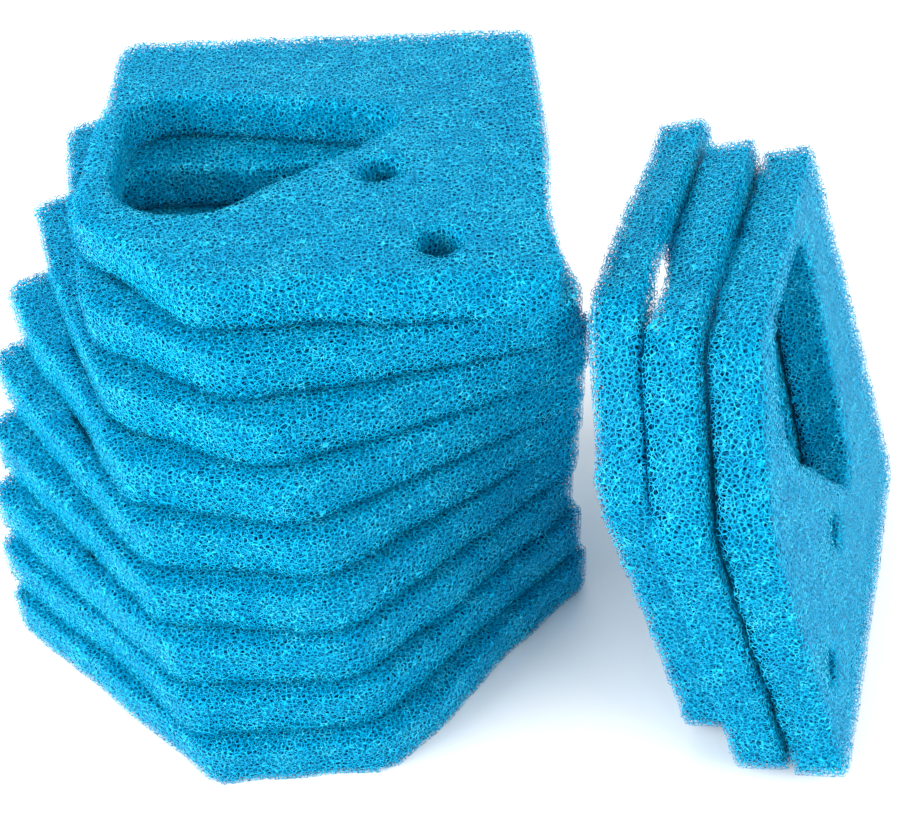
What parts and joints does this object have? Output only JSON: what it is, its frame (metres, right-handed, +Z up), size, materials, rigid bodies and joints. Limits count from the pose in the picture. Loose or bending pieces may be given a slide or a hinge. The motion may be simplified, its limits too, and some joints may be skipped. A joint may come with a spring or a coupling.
{
  "type": "filter foam pad set",
  "caption": "Set of loose square coarse foam filter pads with one cut corner, one big opening and two tube holes each; a fanned stack and a leaning bundle.",
  "frame": {"origin": "middle of the set's footprint, on the floor the pads stand on", "axes": "+Z up through the stack; the leaning pads stand on the +X side"},
  "size_m": [0.4404, 0.3092, 0.2094],
  "materials": {
    "coarse_blue_foam": "open-cell reticulated polyurethane foam, about 10 pores per inch, sky blue"
  },
  "bodies": {
    "stack_pad_1": {"stack_pad_1": "coarse_blue_foam"},
    "stack_pad_2": {"stack_pad_2": "coarse_blue_foam"},
    "stack_pad_3": {"stack_pad_3": "coarse_blue_foam"},
    "stack_pad_4": {"stack_pad_4": "coarse_blue_foam"},
    "stack_pad_5": {"stack_pad_5": "coarse_blue_foam"},
    "stack_pad_6": {"stack_pad_6": "coarse_blue_foam"},
    "stack_pad_7": {"stack_pad_7": "coarse_blue_foam"},
    "stack_pad_8": {"stack_pad_8": "coarse_blue_foam"},
    "stack_pad_9": {"stack_pad_9": "coarse_blue_foam"},
    "leaning_pad_inner": {"leaning_pad_inner": "coarse_blue_foam"},
    "leaning_pad_middle": {"leaning_pad_middle": "coarse_blue_foam"},
    "leaning_pad_outer": {"leaning_pad_outer": "coarse_blue_foam"}
  },
  "joints": [
    {"name": "lift_stack_pad_2", "type": "slide", "parent": "stack_pad_1", "child": "stack_pad_2", "axis": [-0.3642, 0.1414, 0.9205], "range_m": [0, 0.04]},
    {"name": "lift_stack_pad_3", "type": "slide", "parent": "stack_pad_2", "child": "stack_pad_3", "axis": [-0.3642, 0.1414, 0.9205], "range_m": [0, 0.04]},
    {"name": "lift_stack_pad_4", "type": "slide", "parent": "stack_pad_3", "child": "stack_pad_4", "axis": [-0.3642, 0.1414, 0.9205], "range_m": [0, 0.04]},
    {"name": "lift_stack_pad_5", "type": "slide", "parent": "stack_pad_4", "child": "stack_pad_5", "axis": [-0.3642, 0.1414, 0.9205], "range_m": [0, 0.04]},
    {"name": "lift_stack_pad_6", "type": "slide", "parent": "stack_pad_5", "child": "stack_pad_6", "axis": [-0.3642, 0.1414, 0.9205], "range_m": [0, 0.04]},
    {"name": "lift_stack_pad_7", "type": "slide", "parent": "stack_pad_6", "child": "stack_pad_7", "axis": [-0.3642, 0.1414, 0.9205], "range_m": [0, 0.04]},
    {"name": "lift_stack_pad_8", "type": "slide", "parent": "stack_pad_7", "child": "stack_pad_8", "axis": [-0.3642, 0.1414, 0.9205], "range_m": [0, 0.04]},
    {"name": "lift_stack_pad_9", "type": "slide", "parent": "stack_pad_8", "child": "stack_pad_9", "axis": [-0.3642, 0.1414, 0.9205], "range_m": [0, 0.04]},
    {"name": "draw_out_leaning_pad_inner", "type": "slide", "parent": "stack_pad_1", "child": "leaning_pad_inner", "axis": [-0.3035, 0.1178, 0.9455], "range_m": [0, 0.2]},
    {"name": "draw_out_leaning_pad_middle", "type": "slide", "parent": "stack_pad_1", "child": "leaning_pad_middle", "axis": [-0.3035, 0.1178, 0.9455], "range_m": [0, 0.2]},
    {"name": "draw_out_leaning_pad_outer", "type": "slide", "parent": "stack_pad_1", "child": "leaning_pad_outer", "axis": [-0.3035, 0.1178, 0.9455], "range_m": [0, 0.2]}
  ]
}
